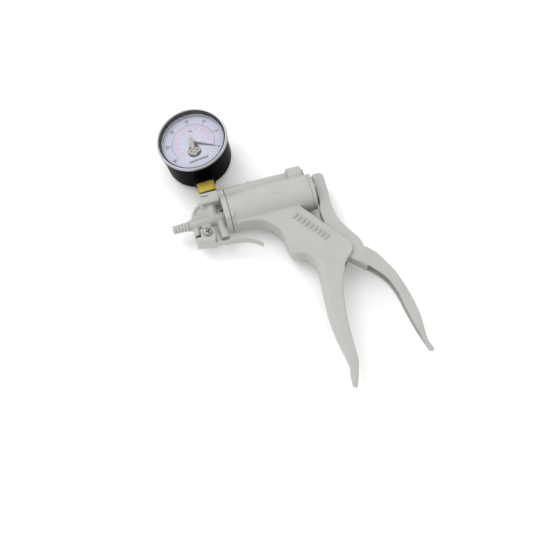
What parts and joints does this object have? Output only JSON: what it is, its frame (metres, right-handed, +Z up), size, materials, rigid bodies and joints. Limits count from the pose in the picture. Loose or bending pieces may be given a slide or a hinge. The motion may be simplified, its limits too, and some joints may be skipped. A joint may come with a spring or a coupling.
{
  "type": "hand vacuum pump",
  "caption": "Pistol-grip hand vacuum pump with a dial gauge, hose barb, release lever and a squeeze handle that pulls the piston.",
  "frame": {"origin": "centre of the bounding box on the surface that the pump lies on", "axes": "+X along the barrel towards the handles, +Y from the grips towards the gauge, +Z up out of the dial side"},
  "size_m": [0.1662, 0.256, 0.0402],
  "materials": {
    "body_plastic": "satin",
    "black_can": "gloss",
    "steel": "satin",
    "bezel_chrome": "polished",
    "brass": "satin",
    "nickel_brass": "satin",
    "rubber": "matte",
    "piston_plastic": "satin",
    "clear_lens": "clear",
    "dial_white": "matte",
    "pointer_black": "satin"
  },
  "bodies": {
    "frame": {"pump_body": "body_plastic", "barrel_collar": "body_plastic", "top_tube_plug": "body_plastic", "front_manifold": "body_plastic", "inlet_barb": "body_plastic", "outlet_cap": "body_plastic", "handle_pivot_pin": "steel", "return_spring": "steel", "flange_screw_1": "steel", "flange_screw_2": "steel", "flange_screw_3": "steel", "lever_screw": "steel", "lever_spring": "steel", "gauge_ring": "steel", "movement_screw_1": "steel", "movement_screw_2": "steel", "manifold_gasket": "rubber", "stem_seal": "rubber", "gauge_relief_plug": "rubber", "gauge_case": "black_can", "gauge_bezel": "bezel_chrome", "gauge_lens": "clear_lens", "gauge_dial": "dial_white", "gauge_movement": "nickel_brass", "gauge_stem": "brass", "bourdon_tube": "brass"},
    "handle": {"moving_handle": "body_plastic"},
    "piston": {"piston": "piston_plastic", "piston_seal": "rubber", "piston_rod": "steel", "rod_pin": "steel"},
    "lever": {"release_lever": "body_plastic", "release_pad": "rubber"},
    "inlet_valve": {"inlet_valve_disc": "rubber"},
    "outlet_valve": {"outlet_valve_disc": "rubber"},
    "sector": {"gauge_sector": "brass"},
    "pointer": {"gauge_pointer": "pointer_black"}
  },
  "joints": [
    {"name": "handle_squeeze", "type": "hinge", "parent": "frame", "child": "handle", "pos_m": [0.04084, -0.02162, 0.0154], "axis": [0, 0, -1], "range_deg": [0, 28], "stiffness_Nm_per_rad": 1.2, "springref_deg": -8.59},
    {"name": "piston_stroke", "type": "slide", "parent": "frame", "child": "piston", "axis": [1, 0, 0], "range_m": [0, 0.0296], "deforming": ["return_spring"]},
    {"name": "release_press", "type": "hinge", "parent": "frame", "child": "lever", "pos_m": [-0.05636, 0.02048, 0.0154], "axis": [0, 0, 1], "range_deg": [0, 8], "stiffness_Nm_per_rad": 0.15, "springref_deg": -11.46},
    {"name": "inlet_valve_lift", "type": "slide", "parent": "frame", "child": "inlet_valve", "axis": [1, 0, 0], "range_m": [0, 0.0008], "stiffness_N_per_m": 40, "springref_m": -0.0005},
    {"name": "outlet_valve_lift", "type": "slide", "parent": "frame", "child": "outlet_valve", "axis": [0, -1, 0], "range_m": [0, 0.0008], "stiffness_N_per_m": 40, "springref_m": -0.0005},
    {"name": "sector_turn", "type": "hinge", "parent": "frame", "child": "sector", "pos_m": [-0.04796, 0.08418, 0.0154], "axis": [0.0889, 0, -0.996], "range_deg": [0, 30], "stiffness_Nm_per_rad": 0.02, "springref_deg": -1.15},
    {"name": "pointer_turn", "type": "hinge", "parent": "frame", "child": "pointer", "pos_m": [-0.04796, 0.09868, 0.0154], "axis": [-0.0889, 0, 0.996], "range_deg": [0, 240]}
  ],
  "couplings": [
    {"joint": "piston_stroke", "follows": "handle_squeeze", "m_per_rad": 0.0602},
    {"joint": "pointer_turn", "follows": "sector_turn", "ratio": 8}
  ]
}
